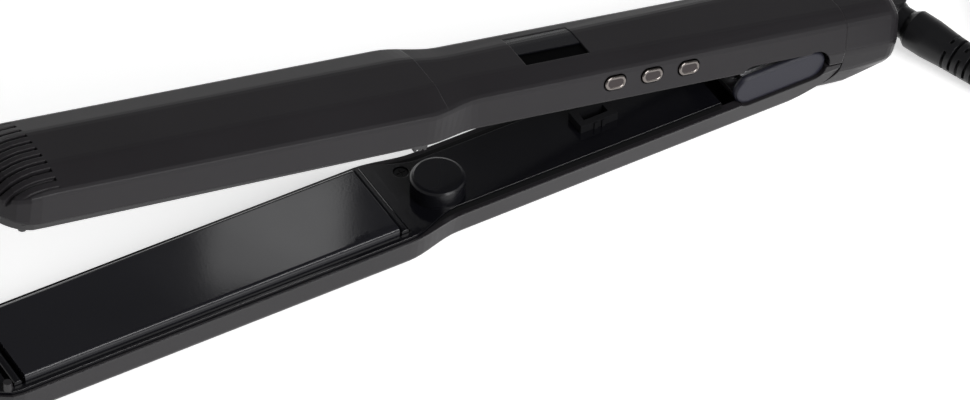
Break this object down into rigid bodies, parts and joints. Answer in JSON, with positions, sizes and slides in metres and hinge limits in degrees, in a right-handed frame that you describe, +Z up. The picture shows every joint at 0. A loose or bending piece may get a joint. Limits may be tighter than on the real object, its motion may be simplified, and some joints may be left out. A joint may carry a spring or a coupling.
{
  "type": "hair straightener",
  "caption": "Two-arm hair straightener lying open, with floating heated plates, side buttons, screen and a swivel cord with its plug.",
  "frame": {"origin": "bottom centre of the box of the two arms, on the surface that the lower arm lies on; the cord and plug are not counted", "axes": "+X towards the hinge and the cord, -Y towards the button side, +Z up from the surface"},
  "size_m": [0.4056, 0.095, 0.0782],
  "materials": {
    "housing": "satin moulded black",
    "inner_plastic": "glossy black",
    "plate_ceramic": "semi gloss black ceramic coating",
    "heater_ceramic": "matt alumina",
    "carrier_plastic": "matt heat resistant plastic",
    "silicone": "matt silicone",
    "trim_black": "matt black",
    "steel": "bright steel",
    "cap_satin": "satin blue grey",
    "bronze": "sintered bronze",
    "board": "green solder mask",
    "screen_black": "high gloss black",
    "screen_strip": "high gloss dark grey",
    "button_metal": "dark chrome",
    "cord_rubber": "satin black rubber",
    "pin_metal": "nickel plated brass"
  },
  "bodies": {
    "lower_arm": {"lower_housing": "housing", "lower_inner_cover": "inner_plastic", "lower_nose_feet": "trim_black", "arm_stop": "inner_plastic", "alignment_socket": "inner_plastic", "cover_screw": "steel", "lower_hinge_bracket": "steel", "lower_bracket_screws": "steel", "hinge_pin": "steel", "hinge_cap_near": "cap_satin", "hinge_cap_far": "cap_satin", "opening_spring": "steel", "lower_plate_pads": "silicone"},
    "lower_plate_float": {"lower_plate": "plate_ceramic", "lower_heater": "heater_ceramic", "lower_plate_carrier": "carrier_plastic", "lower_end_bars": "inner_plastic"},
    "upper_arm": {"upper_housing": "housing", "upper_inner_cover": "inner_plastic", "upper_nose_feet": "trim_black", "upper_hinge_bracket": "steel", "upper_bracket_screws": "steel", "hinge_bushes": "bronze", "control_board": "board", "display_module": "trim_black", "display_window": "screen_black", "display_strip": "screen_strip", "end_cap": "housing", "upper_plate_pads": "silicone"},
    "upper_plate_float": {"upper_plate": "plate_ceramic", "upper_heater": "heater_ceramic", "upper_plate_carrier": "carrier_plastic", "upper_end_bars": "inner_plastic"},
    "power_key": {"power_button": "button_metal"},
    "plus_key": {"plus_button": "button_metal"},
    "minus_key": {"minus_button": "button_metal"},
    "cord_swivel": {"swivel_hub": "trim_black", "swivel_pin": "steel"},
    "cord": {"strain_relief": "cord_rubber", "cord_lead": "cord_rubber", "cord_coil": "cord_rubber", "cord_tail": "cord_rubber", "plug_body": "cord_rubber", "plug_pins": "pin_metal"}
  },
  "joints": [
    {"name": "arm_hinge", "type": "hinge", "parent": "lower_arm", "child": "upper_arm", "pos_m": [0.10627, 0, 0.0141], "axis": [0, 1, 0], "range_deg": [-12.2, 0], "stiffness_Nm_per_rad": 3, "springref_deg": 6.02, "deforming": ["opening_spring"]},
    {"name": "lower_plate_give", "type": "slide", "parent": "lower_arm", "child": "lower_plate_float", "axis": [0, 0, -1], "range_m": [0, 0.0008], "stiffness_N_per_m": 6000, "springref_m": -0.0006, "deforming": ["lower_plate_pads"]},
    {"name": "upper_plate_give", "type": "slide", "parent": "upper_arm", "child": "upper_plate_float", "axis": [0.2113, 0, 0.9774], "range_m": [0, 0.0008], "stiffness_N_per_m": 6000, "springref_m": -0.0006, "deforming": ["upper_plate_pads"]},
    {"name": "power_press", "type": "slide", "parent": "upper_arm", "child": "power_key", "axis": [-0.0514, 0.9699, -0.2379], "range_m": [0, 0.0006], "stiffness_N_per_m": 600, "springref_m": -0.001},
    {"name": "plus_press", "type": "slide", "parent": "upper_arm", "child": "plus_key", "axis": [-0.0525, 0.9687, -0.2426], "range_m": [0, 0.0006], "stiffness_N_per_m": 600, "springref_m": -0.001},
    {"name": "minus_press", "type": "slide", "parent": "upper_arm", "child": "minus_key", "axis": [-0.0535, 0.9675, -0.2473], "range_m": [0, 0.0006], "stiffness_N_per_m": 600, "springref_m": -0.001},
    {"name": "cord_spin", "type": "hinge", "parent": "upper_arm", "child": "cord_swivel", "pos_m": [0.14108, 0, 0.0076], "axis": [0.9774, 0, -0.2113], "continuous": true},
    {"name": "cord_tilt", "type": "hinge", "parent": "cord_swivel", "child": "cord", "pos_m": [0.14108, 0, 0.0076], "axis": [0.2113, 0, 0.9774], "range_deg": [-10, 150]}
  ]
}
